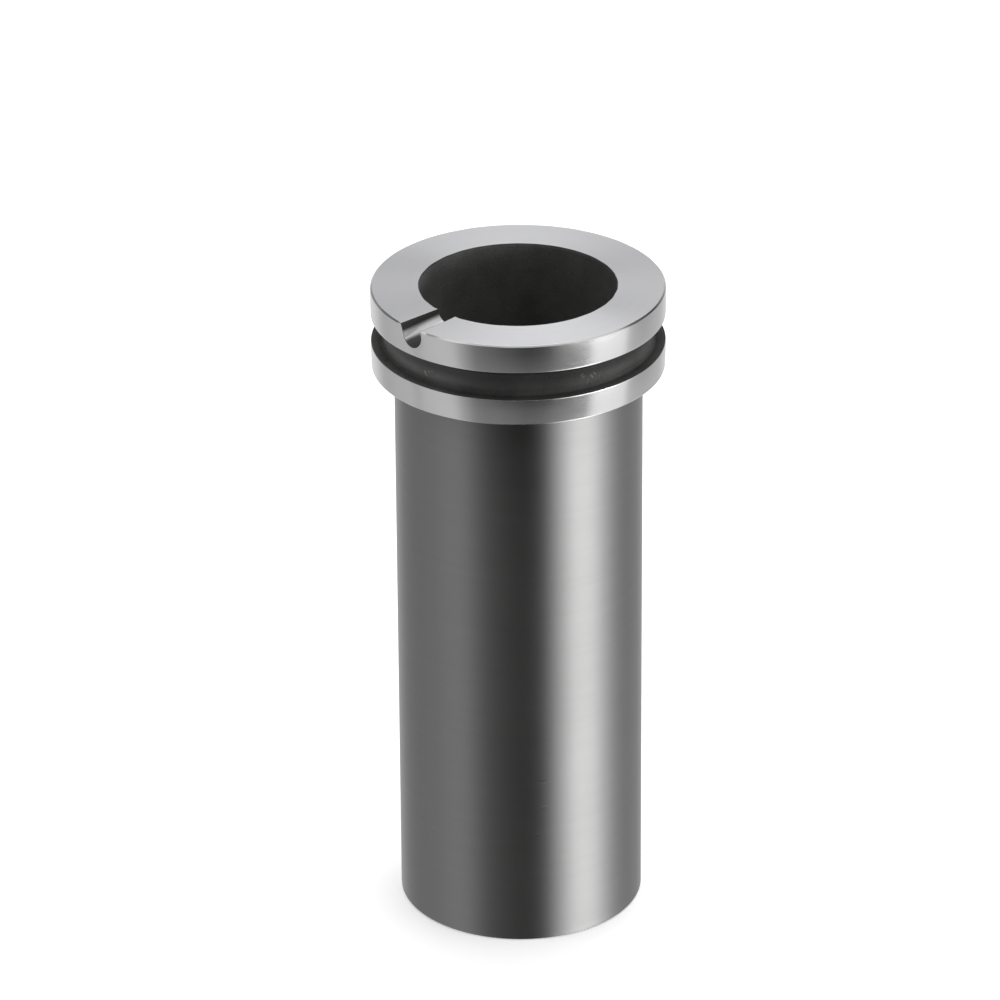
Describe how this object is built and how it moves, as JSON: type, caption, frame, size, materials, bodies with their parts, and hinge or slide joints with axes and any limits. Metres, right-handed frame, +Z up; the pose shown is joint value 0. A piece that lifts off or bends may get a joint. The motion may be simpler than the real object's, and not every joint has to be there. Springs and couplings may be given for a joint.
{
  "type": "foundry crucible",
  "caption": "Tall round graphite melting crucible with a blind bore, a grooved collar to hang and grip it by, and a sloped pour notch cut through its rim.",
  "frame": {"origin": "middle of the flat underside", "axes": "+Z up along the bore axis, the pour notch faces -Y"},
  "size_m": [0.058, 0.058, 0.134],
  "materials": {
    "graphite": "satin"
  },
  "bodies": {
    "root": {"crucible": "graphite"}
  },
  "joints": []
}
